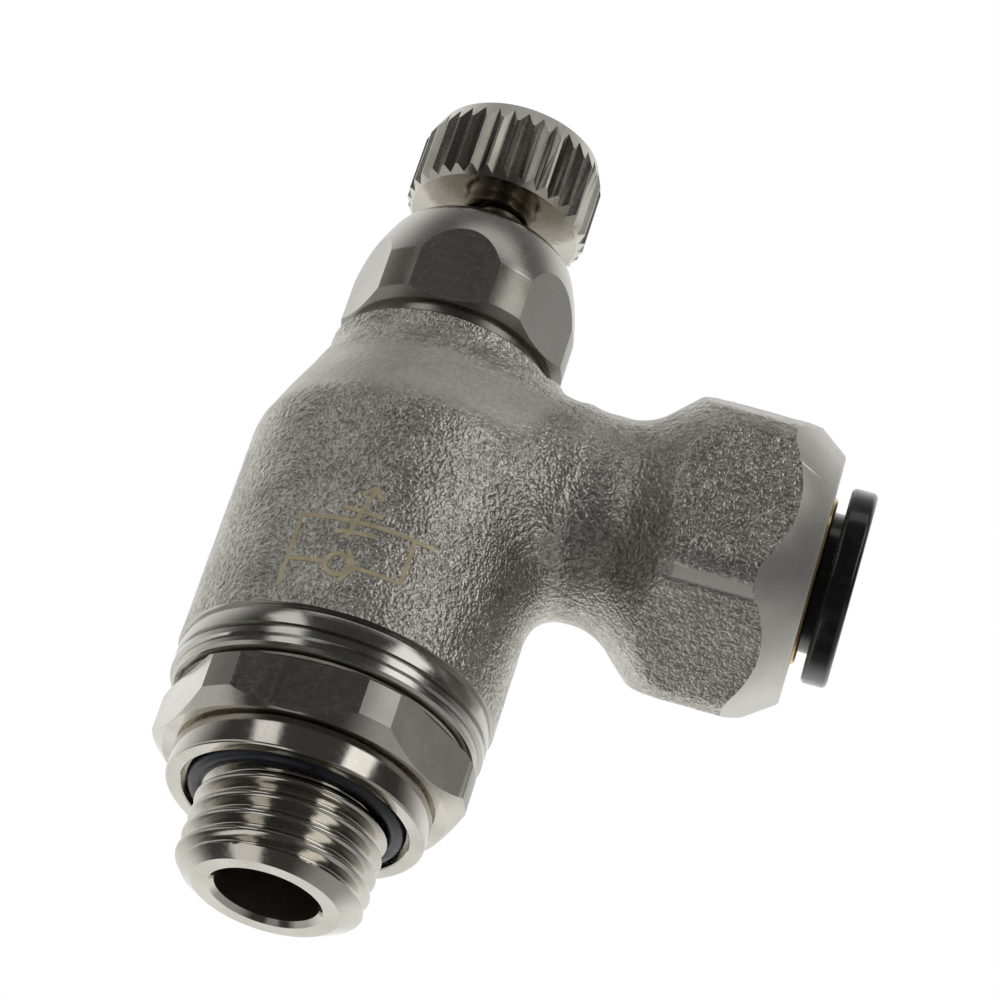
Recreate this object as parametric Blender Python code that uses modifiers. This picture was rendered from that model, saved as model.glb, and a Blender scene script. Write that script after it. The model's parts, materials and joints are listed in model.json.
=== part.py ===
"""One-way flow control valve with a swivelling banjo body and a push-in branch for 8 mm tube.

World frame: metres, +Z along the valve axis from the port thread towards the knob, +X along the
tube branch. Z is zero on the free end of the port thread, and X is zero midway between the back
of the barrel and the outer face of the release button, with the valve's axes in the plane Y = 0.
Sizes below are in millimetres; turned outlines are (radius, height) pairs on the valve axis, or
(radius, reach) pairs on the branch axis.
"""

import math

import bpy
import bmesh

MM = 0.001
GAP = 0.3              # space left between two resting pieces
ROUND_STEPS = 32       # facets around the large turned pieces
SMALL_STEPS = 24       # facets around the small turned pieces
MERGE = 1.0e-6

# Port stud, seen outside
THREAD_R = 6.58        # G 1/4 thread, outside
THREAD_ROOT_R = 5.75
THREAD_PITCH = 1.337
THREAD_TURNS = 4
THREAD_CHAMFER_TOP = 0.85
THREAD_END_R = 5.12    # flat face at the free end
PORT_BORE_R = 3.62
SEAT_Z = 6.5           # the collar face that lands on the port
COLLAR_R = 8.97
COLLAR_TOP = 8.7
FACE_GROOVE_R = 7.87
FACE_GROOVE_DEPTH = 1.35
HEX_FLATS = 19.85
HEX_CORNER_R = 10.85
HEX_TOP = 12.5
HEX_TURN = 22.8        # degrees from +X to the first flat's normal

# Port stud, inside the barrel
JOURNAL_R = 7.7        # lower journal
STEM_R = 5.0
NECK_JOURNAL_R = 6.3   # upper journal
CAP_THREAD_R = 5.2     # end that carries the bonnet
STUD_TOP = 50.0
CHAMBER_R = 3.1
RETURN_Z = 22.6        # cross ports below the metering seat
RETURN_PORT_R = 1.2
METERED_PORT_R = 1.4   # cross ports level with the branch

# Rubber rings: radius to the middle of the cord, cord radius, height
FACE_SEAL = (6.85, 0.72, 7.05)
LOWER_STEM_SEAL = (7.08, 0.72, 17.2)
UPPER_STEM_SEAL = (5.84, 0.62, 40.1)
BONNET_SEAL = (4.78, 0.46, 44.45)
NEEDLE_SEAL = (2.36, 0.60, 44.75)
TUBE_SEAL = (5.12, 0.82, 18.75)

# Swivel body
BARREL_R = 11.05
BARREL_BOTTOM = 13.0
MACHINED_TOP = 15.9
MACHINED_R = 10.9
NECK_R = 8.1
NECK_TOP = 42.1
BODY_BORE_R = 8.0
NECK_BORE_R = 6.6
BODY_BORE_TOP = 37.8
SHOULDER_R = 4.0       # rounding of the barrel's upper end
SHOULDER_Z = 32.4
SHOULDER_END = 21      # degrees of that rounding

# Tube branch
BRANCH_Z = 34.1
BRANCH_FACE = 28.7     # reach of the machined end face
BRANCH_FACE_R = 8.79
CONE_SLOPE = 0.72      # radius gained per unit of reach on the machined end
WAIST_R = 7.4
WAIST_START = 12.4
WAIST_END = 13.6
FLARE_R = 4.0          # rounding between the waist and the boss
BOSS_START = 21.0
BOSS_FLATS = 20.5
BOSS_CORNER_R = 11.35
BOSS_TURN = 94         # degrees from straight down to the front flat's normal
SOCKET_R = 6.1         # bore that holds the cartridge
SOCKET_FLOOR = 17.5
TUBE_BORE_R = 4.2
TUBE_STOP = 13.5
FLOW_BORE_R = 3.0
RING_PROUD = 0.3       # how far the brass ring stands out of the end face
COLLET_SLOT = (12.0, 0.7, 4.0)
COLLET_SLOT_REACH = 24.1
BUTTON_FACE = 31.55
BUTTON_FLANGE_R = 6.92
BUTTON_FLANGE = 1.85
BUTTON_NECK_R = 4.95
BUTTON_BORE_R = 4.2

# Bonnet, needle and knob
BONNET_R = 8.05
BONNET_FLATS = 15.05
BONNET_BOTTOM = 42.45
BONNET_TOP = 52.92
BONNET_TURN = 25.1     # degrees from +X to the first flat's normal
OGIVE_R = 17.0         # long arc of the dome
OGIVE_BOTTOM = 47.3
OGIVE_START = 9        # degrees where that arc starts and ends
OGIVE_END = 24
DOME_EDGE_R = 2.3      # short arc that rounds it into the flat top
STEM_THREAD_R = 2.5    # M5 x 0.8
STEM_HOLE_R = 2.65
KNOB_R = 6.6
KNOB_BOTTOM = 55.24
KNOB_TOP = 61.8
KNOB_TAPER = 60.1      # where the taper to the top starts
KNOB_TOP_R = 6.02
KNOB_CHAMFER = 0.6
KNURL_TEETH = 36
KNURL_DEPTH = 0.4
SPIGOT_R = 1.75        # end of the needle screw, pressed into the knob
SPIGOT_TOP = KNOB_TOP - 0.3

# Finishes: colour, metallic, roughness
NICKEL = ((0.62, 0.60, 0.56), 1.0, 0.22)
FORGED = ((0.50, 0.49, 0.46), 1.0, 0.55)
BRASS = ((0.72, 0.53, 0.26), 1.0, 0.30)
STEEL = ((0.45, 0.42, 0.38), 1.0, 0.35)
RUBBER = ((0.02, 0.02, 0.024), 0.0, 0.55)
POLYMER = ((0.80, 0.78, 0.72), 0.0, 0.50)
BLACK = ((0.012, 0.012, 0.014), 0.0, 0.35)

AXIS_X = -(BUTTON_FACE - BARREL_R) / 2


def clear_scene():
    """Empty the scene, so a second run starts clean."""
    for item in list(bpy.data.objects):
        bpy.data.objects.remove(item, do_unlink=True)


def make_collection(name):
    group = bpy.data.collections.new(name)
    bpy.context.scene.collection.children.link(group)
    return group


def make_empty(name, location, rotation, parent):
    """A named axis that pieces hang on."""
    axis = bpy.data.objects.new(name, None)
    axis.location = [value * MM for value in location]
    axis.rotation_euler = rotation
    axis.parent = parent
    PARTS.objects.link(axis)
    return axis


def make_material(name, colour, metallic, roughness):
    material = bpy.data.materials.new(name)
    material.use_nodes = True
    shader = material.node_tree.nodes["Principled BSDF"]
    shader.inputs["Base Color"].default_value = (*colour, 1.0)
    shader.inputs["Metallic"].default_value = metallic
    shader.inputs["Roughness"].default_value = roughness
    return material


def place(name, mesh, parent, finish):
    """Put a mesh in the scene: a piece with its own material, or a cutter when finish is None."""
    item = bpy.data.objects.new(name, mesh)
    item.parent = parent
    if finish is None:
        item.hide_render = True
        item.display_type = "WIRE"
        CUTTERS.objects.link(item)
    else:
        mesh.materials.append(make_material(name, *finish))
        PARTS.objects.link(item)
    return item


def smooth(mesh):
    mesh.shade_smooth()
    mesh.set_sharp_from_angle(angle=math.radians(30))


def arc(centre_r, centre_z, radius, start, end, steps=5):
    """Points on an arc, angles in degrees from the +radius direction."""
    angles = [math.radians(start + (end - start) * i / steps) for i in range(steps + 1)]
    return [(centre_r + radius * math.cos(a), centre_z + radius * math.sin(a)) for a in angles]


def turned(name, outline, parent, finish, steps=ROUND_STEPS, closed=True):
    """A turned piece: the outline runs down its outer side and back up its bore."""
    mesh = bpy.data.meshes.new(name)
    points = [(radius * MM, 0.0, height * MM) for radius, height in outline]
    edges = [(i, i + 1) for i in range(len(points) - 1)]
    if closed:
        edges.append((len(points) - 1, 0))
    mesh.from_pydata(points, edges, [])
    item = place(name, mesh, parent, finish)
    screw = item.modifiers.new("turn", "SCREW")
    screw.axis = "Z"
    screw.angle = 2 * math.pi
    screw.steps = steps
    screw.render_steps = steps
    screw.use_merge_vertices = True
    screw.merge_threshold = MERGE
    screw.use_smooth_shade = True
    return item


def boolean(item, operation, tool):
    step = item.modifiers.new(tool.name, "BOOLEAN")
    step.operation = operation
    step.solver = "EXACT"
    step.object = tool


def drill(name, parent, radius, length, location, rotation=(0.0, 0.0, 0.0), steps=24):
    """A round cutter centred on its location, along its own Z."""
    mesh = bpy.data.meshes.new(name)
    shape = bmesh.new()
    bmesh.ops.create_cone(shape, cap_ends=True, segments=steps, radius1=radius * MM,
                          radius2=radius * MM, depth=length * MM)
    shape.to_mesh(mesh)
    shape.free()
    item = place(name, mesh, parent, None)
    item.location = [value * MM for value in location]
    item.rotation_euler = rotation
    return item


def bar_cutter(name, parent, size):
    """A rectangular cutter centred on its origin."""
    mesh = bpy.data.meshes.new(name)
    shape = bmesh.new()
    bmesh.ops.create_cube(shape, size=1.0)
    bmesh.ops.scale(shape, vec=[value * MM for value in size], verts=shape.verts)
    shape.to_mesh(mesh)
    shape.free()
    return place(name, mesh, parent, None)


def hex_sleeve(name, parent, flats, bottom, top, turn):
    """A six-sided sleeve whose inner faces are the flats: subtracting it leaves a hexagon."""
    corner = flats / 2 / math.cos(math.radians(30))
    mesh = bpy.data.meshes.new(name)
    shape = bmesh.new()
    bmesh.ops.create_cone(shape, cap_ends=False, segments=6, radius1=corner * MM,
                          radius2=corner * MM, depth=(top - bottom) * MM)
    bmesh.ops.translate(shape, vec=(0, 0, (top + bottom) * MM / 2), verts=shape.verts)
    shape.to_mesh(mesh)
    shape.free()
    item = place(name, mesh, parent, None)
    item.rotation_euler = (0.0, 0.0, math.radians(turn))
    wall = item.modifiers.new("wall", "SOLIDIFY")
    wall.thickness = 5 * MM
    wall.offset = 1.0
    wall.use_even_offset = True
    return item


def o_ring(name, parent, size, finish):
    """A ring of rubber cord. size is the radius to the middle of the cord, its radius, height."""
    radius, cord, height = size
    bpy.ops.mesh.primitive_torus_add(major_segments=SMALL_STEPS, minor_segments=8,
                                     major_radius=radius * MM, minor_radius=cord * MM)
    made = bpy.context.object
    mesh = made.data
    mesh.name = name
    bpy.data.objects.remove(made, do_unlink=True)
    smooth(mesh)
    item = place(name, mesh, parent, finish)
    item.location = (0.0, 0.0, height * MM)
    return item


def star_prism(name, parent, teeth, crest, root, bottom, top):
    """A prism with a zigzag outline, for a straight knurl."""
    curve = bpy.data.curves.new(name, "CURVE")
    curve.dimensions = "2D"
    curve.fill_mode = "BOTH"
    curve.extrude = (top - bottom) / 2 * MM
    line = curve.splines.new("POLY")
    line.points.add(2 * teeth - 1)
    for i, point in enumerate(line.points):
        radius = crest if i % 2 == 0 else root
        angle = math.pi * i / teeth
        point.co = (radius * math.cos(angle) * MM, radius * math.sin(angle) * MM, 0.0, 1.0)
    line.use_cyclic_u = True
    flat = bpy.data.objects.new(name, curve)
    CUTTERS.objects.link(flat)
    evaluated = flat.evaluated_get(bpy.context.evaluated_depsgraph_get())
    mesh = bpy.data.meshes.new_from_object(evaluated)
    bpy.data.objects.remove(flat, do_unlink=True)
    shape = bmesh.new()
    shape.from_mesh(mesh)
    bmesh.ops.remove_doubles(shape, verts=shape.verts, dist=MERGE)
    bmesh.ops.recalc_face_normals(shape, faces=shape.faces)
    shape.to_mesh(mesh)
    shape.free()
    item = place(name, mesh, parent, None)
    item.location = (0.0, 0.0, (top + bottom) / 2 * MM)
    return item


def thread_outline(top):
    """The port thread as a row of V grooves, listed downwards from its upper end."""
    points = []
    for turn in range(THREAD_TURNS):
        upper = top - turn * THREAD_PITCH
        points += [(THREAD_ROOT_R, upper), (THREAD_R, upper - 0.42 * THREAD_PITCH),
                   (THREAD_R, upper - 0.58 * THREAD_PITCH)]
    return points + [(THREAD_ROOT_R, top - THREAD_TURNS * THREAD_PITCH)]


def build_port_stud():
    """Thread, collar, spanner hexagon and the hollow stem that the body turns on."""
    groove_top = SEAT_Z + FACE_GROOVE_DEPTH
    outer = [
        (CAP_THREAD_R - 0.5, STUD_TOP), (CAP_THREAD_R, STUD_TOP - 0.5),
        (CAP_THREAD_R, 45.2), (4.2, 45.2), (4.2, 43.7), (CAP_THREAD_R, 43.7),
        (CAP_THREAD_R, 42.1), (NECK_JOURNAL_R, 42.1),
        (NECK_JOURNAL_R, 40.9), (5.1, 40.9), (5.1, 39.3), (NECK_JOURNAL_R, 39.3),
        (NECK_JOURNAL_R, 38.1), (STEM_R, 37.2),
        (STEM_R, 30.7), (4.4, 30.7), (4.4, 29.7), (STEM_R, 29.7),
        (STEM_R, 26.4), (6.2, 26.4), (6.2, 25.4), (STEM_R, 25.4),
        (STEM_R, 20.2), (JOURNAL_R, 19.4),
        (JOURNAL_R, 18.1), (6.2, 18.1), (6.2, 16.3), (JOURNAL_R, 16.3),
        (JOURNAL_R, HEX_TOP),
        (HEX_CORNER_R - 0.35, HEX_TOP), (HEX_CORNER_R, HEX_TOP - 0.3),
        (HEX_CORNER_R, COLLAR_TOP + 0.95), (9.85, COLLAR_TOP),
        (COLLAR_R - 0.35, COLLAR_TOP), (COLLAR_R - 0.35, COLLAR_TOP - 0.2),
        (COLLAR_R, COLLAR_TOP - 0.35), (COLLAR_R, SEAT_Z + 0.25), (COLLAR_R - 0.25, SEAT_Z),
        (FACE_GROOVE_R, SEAT_Z), (FACE_GROOVE_R, groove_top), (THREAD_ROOT_R, groove_top),
    ]
    thread = thread_outline(SEAT_Z + 0.1)
    end = [(THREAD_R - 0.1, THREAD_CHAMFER_TOP), (THREAD_END_R, 0.0), (PORT_BORE_R + 0.35, 0.0)]
    bore = [
        (PORT_BORE_R, 0.35), (PORT_BORE_R, 22.5), (PORT_BORE_R, 25.1), (CHAMBER_R - 0.5, 25.1),
        (CHAMBER_R - 0.5, 26.2), (CHAMBER_R, 26.6), (CHAMBER_R, STUD_TOP),
    ]
    stud = turned("port_stud", outer + thread + end + bore, VALVE_AXIS, NICKEL)
    sleeve = hex_sleeve("stud_flats", VALVE_AXIS, HEX_FLATS, COLLAR_TOP - 0.1,
                        HEX_TOP + 0.5, HEX_TURN)
    boolean(stud, "DIFFERENCE", sleeve)
    for level, radius, name in ((BRANCH_Z, METERED_PORT_R, "metered"),
                                (RETURN_Z, RETURN_PORT_R, "return")):
        for turn in (45, 135):
            hole = drill(f"{name}_port_{turn}", VALVE_AXIS, radius, 20, (0, 0, level),
                         (math.radians(90), 0.0, math.radians(turn)), 12)
            boolean(stud, "DIFFERENCE", hole)
    return stud


def build_port_seals():
    """The rubber rings on the stud, and the ring that keeps the one-way lip seal in place."""
    o_ring("port_face_seal", VALVE_AXIS, FACE_SEAL, RUBBER)
    o_ring("lower_stem_seal", VALVE_AXIS, LOWER_STEM_SEAL, RUBBER)
    o_ring("upper_stem_seal", VALVE_AXIS, UPPER_STEM_SEAL, RUBBER)
    o_ring("bonnet_seal", VALVE_AXIS, BONNET_SEAL, RUBBER)
    lip = [
        (7.75, 29.3), (7.85, 29.1), (7.1, 27.4), (6.6, 26.9), (6.6, 26.7),
        (5.2, 26.7), (5.2, 28.9), (5.7, 29.1), (6.0, 28.0), (6.6, 28.0), (7.3, 29.3),
    ]
    turned("check_lip_seal", lip, VALVE_AXIS, RUBBER, SMALL_STEPS)
    clip = [(5.9, 30.5), (5.9, 29.9), (4.6, 29.9), (4.6, 30.5)]
    turned("lip_seal_clip", clip, VALVE_AXIS, STEEL, SMALL_STEPS)
    seat = [
        (2.3, 24.8), (3.4, 24.8), (3.4, 23.4), (2.5, 23.1), (1.6, 23.9), (1.6, 24.5),
    ]
    turned("metering_seat", seat, VALVE_AXIS, BRASS, SMALL_STEPS)
    washer = [(9.9, 12.87), (10.0, 12.8), (10.0, 12.63), (8.0, 12.63), (8.0, 12.87)]
    turned("thrust_washer", washer, VALVE_AXIS, POLYMER)


def build_bonnet():
    """The domed hexagonal cap that screws on the stud and guides the needle screw."""
    outline = [(STEM_HOLE_R + 0.25, BONNET_TOP)]
    start, end = math.radians(OGIVE_START), math.radians(OGIVE_END)
    centre_r = BONNET_R - OGIVE_R * math.cos(start)
    centre_z = OGIVE_BOTTOM - OGIVE_R * math.sin(start)
    edge_r = centre_r + (OGIVE_R - DOME_EDGE_R) * math.cos(end)
    edge_z = centre_z + (OGIVE_R - DOME_EDGE_R) * math.sin(end)
    outline += arc(edge_r, edge_z, DOME_EDGE_R, 88, OGIVE_END, 4)[:-1]
    outline += arc(centre_r, centre_z, OGIVE_R, OGIVE_END, OGIVE_START, 4)
    outline += [
        (BONNET_R, BONNET_BOTTOM + 1.75), (BONNET_R - 0.8, BONNET_BOTTOM + 0.85),
        (BONNET_R - 1.0, BONNET_BOTTOM),
        (CAP_THREAD_R + 0.2, BONNET_BOTTOM), (CAP_THREAD_R + 0.2, STUD_TOP + GAP),
        (STEM_HOLE_R, STUD_TOP + GAP), (STEM_HOLE_R, BONNET_TOP - 0.25),
    ]
    bonnet = turned("bonnet", outline, VALVE_AXIS, NICKEL)
    sleeve = hex_sleeve("bonnet_flats", VALVE_AXIS, BONNET_FLATS, BONNET_BOTTOM - 0.5,
                        BONNET_TOP + 0.5, BONNET_TURN)
    boolean(bonnet, "DIFFERENCE", sleeve)


def build_needle():
    """The screw whose tapered lower end meters the air, and the pieces it carries."""
    outline = [
        (0.0, SPIGOT_TOP), (SPIGOT_R - 0.2, SPIGOT_TOP), (SPIGOT_R, SPIGOT_TOP - 0.2),
        (SPIGOT_R, KNOB_BOTTOM + 0.1), (STEM_THREAD_R - 0.2, KNOB_BOTTOM + 0.1),
        (STEM_THREAD_R, KNOB_BOTTOM - 0.1), (STEM_THREAD_R, 48.2), (2.0, 48.0),
        (2.0, 47.6), (1.75, 47.6), (1.75, 46.8), (2.75, 46.8), (2.75, 45.6), (1.6, 45.6),
        (1.6, 43.9), (2.75, 43.9), (2.75, 42.5), (1.9, 42.0), (1.9, 30.4), (1.5, 29.4),
        (1.5, 26.5), (0.6, 25.2), (0.0, 25.2),
    ]
    needle = turned("needle_screw", outline, KNOB_AXIS, STEEL, SMALL_STEPS, closed=False)
    needle.location = (0.0, 0.0, -KNOB_BOTTOM * MM)
    o_ring("needle_seal", VALVE_AXIS, NEEDLE_SEAL, RUBBER)
    clip = [(2.85, 47.45), (2.85, 46.95), (1.9, 46.95), (1.9, 47.45)]
    ring = turned("needle_stop_ring", clip, KNOB_AXIS, STEEL, SMALL_STEPS)
    ring.location = (0.0, 0.0, -KNOB_BOTTOM * MM)


def build_knob():
    """The knurled knob pressed on the needle screw: a turned blank cut by a zigzag prism."""
    root = KNOB_R - KNURL_DEPTH
    outline = [
        (KNOB_TOP_R - 0.12, KNOB_TOP), (KNOB_TOP_R, KNOB_TOP - 0.12), (KNOB_R + 0.02, KNOB_TAPER),
        (KNOB_R + 0.02, KNOB_BOTTOM + KNOB_CHAMFER), (root - 0.1, KNOB_BOTTOM),
        (2.8, KNOB_BOTTOM), (2.7, KNOB_BOTTOM + 0.4), (SPIGOT_R + 0.2, KNOB_BOTTOM + 0.4),
        (SPIGOT_R + 0.2, KNOB_TOP - 0.7), (2.5, KNOB_TOP - 0.7), (2.5, KNOB_TOP),
    ]
    knob = turned("knob", outline, KNOB_AXIS, NICKEL, KNURL_TEETH)
    knob.location = (0.0, 0.0, -KNOB_BOTTOM * MM)
    star = star_prism("knurl", KNOB_AXIS, KNURL_TEETH, KNOB_R, root, -0.5,
                      KNOB_TOP - KNOB_BOTTOM + 0.5)
    boolean(knob, "INTERSECT", star)


def branch_outline():
    """Outside of the tube branch: a waist that flares to the boss, then the machined cone."""
    inner_end = 6.0
    points = [(0.0, BRANCH_FACE), (BRANCH_FACE_R, BRANCH_FACE)]
    points += [(BOSS_CORNER_R, BRANCH_FACE - (BOSS_CORNER_R - BRANCH_FACE_R) / CONE_SLOPE)]
    points += arc(BOSS_CORNER_R - FLARE_R, BOSS_START, FLARE_R, 0, -42, 4)
    points += arc(WAIST_R + FLARE_R, WAIST_END, FLARE_R, 138, 180, 4)
    points += arc(WAIST_R + FLARE_R, WAIST_START, FLARE_R, 180, 200, 2)
    return points + [(WAIST_R + 0.5, inner_end), (0.0, inner_end)]


def barrel_outline():
    """Outside of the barrel: neck, sloping shoulder, barrel and the turned bands below it."""
    points = [(0.0, NECK_TOP), (NECK_R - 0.15, NECK_TOP), (NECK_R, NECK_TOP - 0.15)]
    points += [(NECK_R, 41.0), (8.3, 40.2), (9.15, 38.0), (9.9, 36.2)]
    points += arc(BARREL_R - SHOULDER_R, SHOULDER_Z, SHOULDER_R, SHOULDER_END, 0, 4)
    points += [
        (BARREL_R, MACHINED_TOP + 0.1), (MACHINED_R - 0.15, MACHINED_TOP),
        (MACHINED_R, MACHINED_TOP - 0.3), (MACHINED_R, 14.55), (MACHINED_R - 0.3, 14.45),
        (MACHINED_R - 0.3, 14.25), (MACHINED_R, 14.15), (MACHINED_R, 13.75),
        (MACHINED_R - 0.25, 13.65), (MACHINED_R - 0.25, 13.2), (MACHINED_R - 0.45, BARREL_BOTTOM),
        (0.0, BARREL_BOTTOM),
    ]
    return points


def build_body():
    """The forged body: barrel and branch in one piece, bored for the stud and the cartridge."""
    body = turned("swivel_body", barrel_outline(), BODY_AXIS, FORGED, closed=False)
    branch = turned("branch_blank", branch_outline(), BRANCH_AXIS, None, 36, closed=False)
    sleeve = hex_sleeve("boss_flats", BRANCH_AXIS, BOSS_FLATS, 14.0, BRANCH_FACE + 0.5, BOSS_TURN)
    boolean(branch, "DIFFERENCE", sleeve)
    boolean(body, "UNION", branch)
    cavity = [
        (0.0, NECK_TOP + 1), (NECK_BORE_R, NECK_TOP + 1), (NECK_BORE_R, BODY_BORE_TOP + 0.9),
        (BODY_BORE_R, BODY_BORE_TOP), (BODY_BORE_R, BARREL_BOTTOM - 1),
        (0.0, BARREL_BOTTOM - 1),
    ]
    boolean(body, "DIFFERENCE", turned("barrel_bore", cavity, BODY_AXIS, None, closed=False))
    socket = [
        (0.0, BRANCH_FACE + 1), (SOCKET_R, BRANCH_FACE + 1), (SOCKET_R, SOCKET_FLOOR),
        (TUBE_BORE_R, SOCKET_FLOOR), (TUBE_BORE_R, TUBE_STOP), (FLOW_BORE_R, TUBE_STOP),
        (FLOW_BORE_R, 5.0), (0.0, 5.0),
    ]
    boolean(body, "DIFFERENCE",
            turned("branch_bore", socket, BRANCH_AXIS, None, SMALL_STEPS, closed=False))


def build_cartridge():
    """The push-in cartridge in the branch: seal, spacer, collet, brass ring and button."""
    o_ring("tube_seal", BRANCH_AXIS, TUBE_SEAL, RUBBER)
    spacer = [(5.85, 20.3), (5.85, 19.85), (4.35, 19.85), (4.35, 20.3)]
    turned("seal_spacer", spacer, BRANCH_AXIS, POLYMER, SMALL_STEPS)
    ring_end = BRANCH_FACE + RING_PROUD
    ring = [
        (5.75, ring_end), (5.9, ring_end - 0.15), (5.9, 20.6), (5.5, 20.6),
        (5.5, 25.3), (5.2, 26.3), (5.2, ring_end - 0.2), (5.4, ring_end),
    ]
    turned("cartridge_ring", ring, BRANCH_AXIS, BRASS)
    collet = [
        (5.15, 22.9), (5.15, 23.3), (4.5, 24.45), (4.25, 24.3), (4.75, 23.2), (4.4, 21.5),
        (4.4, 20.7), (5.3, 20.7), (5.3, 21.6),
    ]
    jaws = turned("gripping_collet", collet, BRANCH_AXIS, STEEL, SMALL_STEPS)
    for turn in range(0, 180, 60):
        slot = bar_cutter(f"collet_slot_{turn}", BRANCH_AXIS, COLLET_SLOT)
        slot.location = (0.0, 0.0, COLLET_SLOT_REACH * MM)
        slot.rotation_euler = (0.0, 0.0, math.radians(turn))
        boolean(jaws, "DIFFERENCE", slot)


def build_button():
    """The black release button: a flange outside and a neck that reaches the collet."""
    inner = BUTTON_FACE - BUTTON_FLANGE
    outline = [
        (BUTTON_BORE_R + 0.5, BUTTON_FACE), (BUTTON_FLANGE_R - 0.45, BUTTON_FACE),
        (BUTTON_FLANGE_R, BUTTON_FACE - 0.35), (BUTTON_FLANGE_R, inner + 0.3),
        (BUTTON_FLANGE_R - 0.45, inner), (BUTTON_NECK_R, inner),
        (BUTTON_NECK_R, 26.6), (BUTTON_NECK_R - 0.5, 25.8), (BUTTON_BORE_R, 25.8),
        (BUTTON_BORE_R, BUTTON_FACE - 0.5),
    ]
    button = turned("release_button", outline, BUTTON_AXIS, BLACK)
    button.location = (0.0, 0.0, -BUTTON_FACE * MM)


clear_scene()
PARTS = make_collection("flow_control_valve")
CUTTERS = make_collection("cutters")
UPRIGHT = (0.0, 0.0, 0.0)
SIDEWAYS = (0.0, math.radians(90), 0.0)
VALVE_AXIS = make_empty("valve_axis", (AXIS_X, 0, 0), UPRIGHT, None)
BODY_AXIS = make_empty("swivel_axis", (0, 0, 0), UPRIGHT, VALVE_AXIS)
BRANCH_AXIS = make_empty("branch_axis", (0, 0, BRANCH_Z), SIDEWAYS, BODY_AXIS)
BUTTON_AXIS = make_empty("button_axis", (0, 0, BUTTON_FACE), UPRIGHT, BRANCH_AXIS)
KNOB_AXIS = make_empty("knob_axis", (0, 0, KNOB_BOTTOM), UPRIGHT, VALVE_AXIS)

build_port_stud()
build_port_seals()
build_bonnet()
build_needle()
build_knob()
build_body()
build_cartridge()
build_button()
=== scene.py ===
"""Looks of the one-way flow control valve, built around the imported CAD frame.

Lengths are millimetres. Meshes are made from them in metres, in the frame's own axes, so every
object sits at the origin. Turned outlines are (radius, height) pairs that run down the outer side
and back up the bore. On the branch, height is the reach from the valve axis.
"""

import json
import math

import bpy
import bmesh
import numpy as np
from mathutils import Matrix, Vector, noise


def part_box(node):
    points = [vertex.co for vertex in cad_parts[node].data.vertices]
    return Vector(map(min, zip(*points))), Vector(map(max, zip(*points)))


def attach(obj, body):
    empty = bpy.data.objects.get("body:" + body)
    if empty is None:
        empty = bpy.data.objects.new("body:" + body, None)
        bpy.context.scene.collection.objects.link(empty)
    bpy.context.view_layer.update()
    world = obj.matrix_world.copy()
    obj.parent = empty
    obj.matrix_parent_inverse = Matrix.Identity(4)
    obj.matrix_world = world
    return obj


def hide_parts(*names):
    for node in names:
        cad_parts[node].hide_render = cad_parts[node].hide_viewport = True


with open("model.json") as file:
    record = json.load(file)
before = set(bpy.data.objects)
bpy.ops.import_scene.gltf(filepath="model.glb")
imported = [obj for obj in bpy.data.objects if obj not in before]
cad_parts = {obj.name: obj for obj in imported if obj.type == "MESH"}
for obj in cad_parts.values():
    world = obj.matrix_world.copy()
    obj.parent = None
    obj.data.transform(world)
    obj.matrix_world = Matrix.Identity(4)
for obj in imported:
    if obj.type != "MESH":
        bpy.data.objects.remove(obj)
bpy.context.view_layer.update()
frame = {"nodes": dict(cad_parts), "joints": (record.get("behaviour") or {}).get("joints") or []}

MM = 0.001
SWIVEL = next(joint for joint in frame["joints"] if joint["name"] == "body_swivel")
AXIS_X, AXIS_Y, BRANCH_Z = (value / MM for value in SWIVEL["pos_m"])
VALVE = Matrix.Translation((AXIS_X, AXIS_Y, 0.0))
BRANCH = Matrix.Translation((AXIS_X, AXIS_Y, BRANCH_Z)) @ Matrix.Rotation(math.radians(90), 4, "Y")


def extent(node, side, axis):
    """One side of a CAD node's box in millimetres: side 0 is the lowest, 1 the highest."""
    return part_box(node)[side][axis] / MM


# Sizes read from the frame
KNOB_BOTTOM, KNOB_TOP = extent("knob", 0, 2), extent("knob", 1, 2)
KNOB_R = (extent("knob", 1, 1) - extent("knob", 0, 1)) / 2
BONNET_BOTTOM, BONNET_TOP = extent("bonnet", 0, 2), extent("bonnet", 1, 2)
BODY_BOTTOM = extent("swivel_body", 0, 2)
BARREL_R = extent("swivel_body", 1, 1)
FACE = extent("swivel_body", 1, 0) - AXIS_X    # reach of the branch's end face
BUTTON_FACE = extent("release_button", 1, 0) - AXIS_X
BUTTON_R = extent("release_button", 1, 1)
RING_END = extent("cartridge_ring", 1, 0) - AXIS_X

# Sizes of the port stud
SEAT_Z = 6.5           # the collar face that lands on the port
COLLAR_R = 8.97
COLLAR_TOP = 8.7
GROOVE_R = 7.87
GROOVE_TOP = SEAT_Z + 1.35
THREAD_R = 6.578
THREAD_DEPTH = 0.80
THREAD_PITCH = 1.337
THREAD_FADE = 0.6      # length over which the thread runs out at its free end
THREAD_END_R = 5.12
CHAMFER_R = 5.118      # the chamfer's radius at the free end
CHAMFER_SLOPE = 1.62   # radius gained per unit of height
PORT_BORE_R = 3.62
HEX_TOP = 12.5
HEX_CORNER_R = 10.85
HEX_FLATS = 19.85
HEX_TURN = 22.8        # degrees from +X to the first flat's normal
CHAMBER_R = 3.1

# Sizes of the bonnet, knob and needle
BONNET_R = 8.05
BONNET_FLATS = 15.05
BONNET_TURN = 25.1     # degrees from +X to the first flat's normal
KNURL_TEETH = 36
KNURL_DEPTH = 0.4
KNOB_TAPER = 60.1      # height at which the knob's top taper starts
KNOB_TOP_R = 6.02
STEM_R = 2.5
STEM_PITCH = 0.8
STEM_DEPTH = 0.42
STEM_THREAD_END = 48.2

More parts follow.
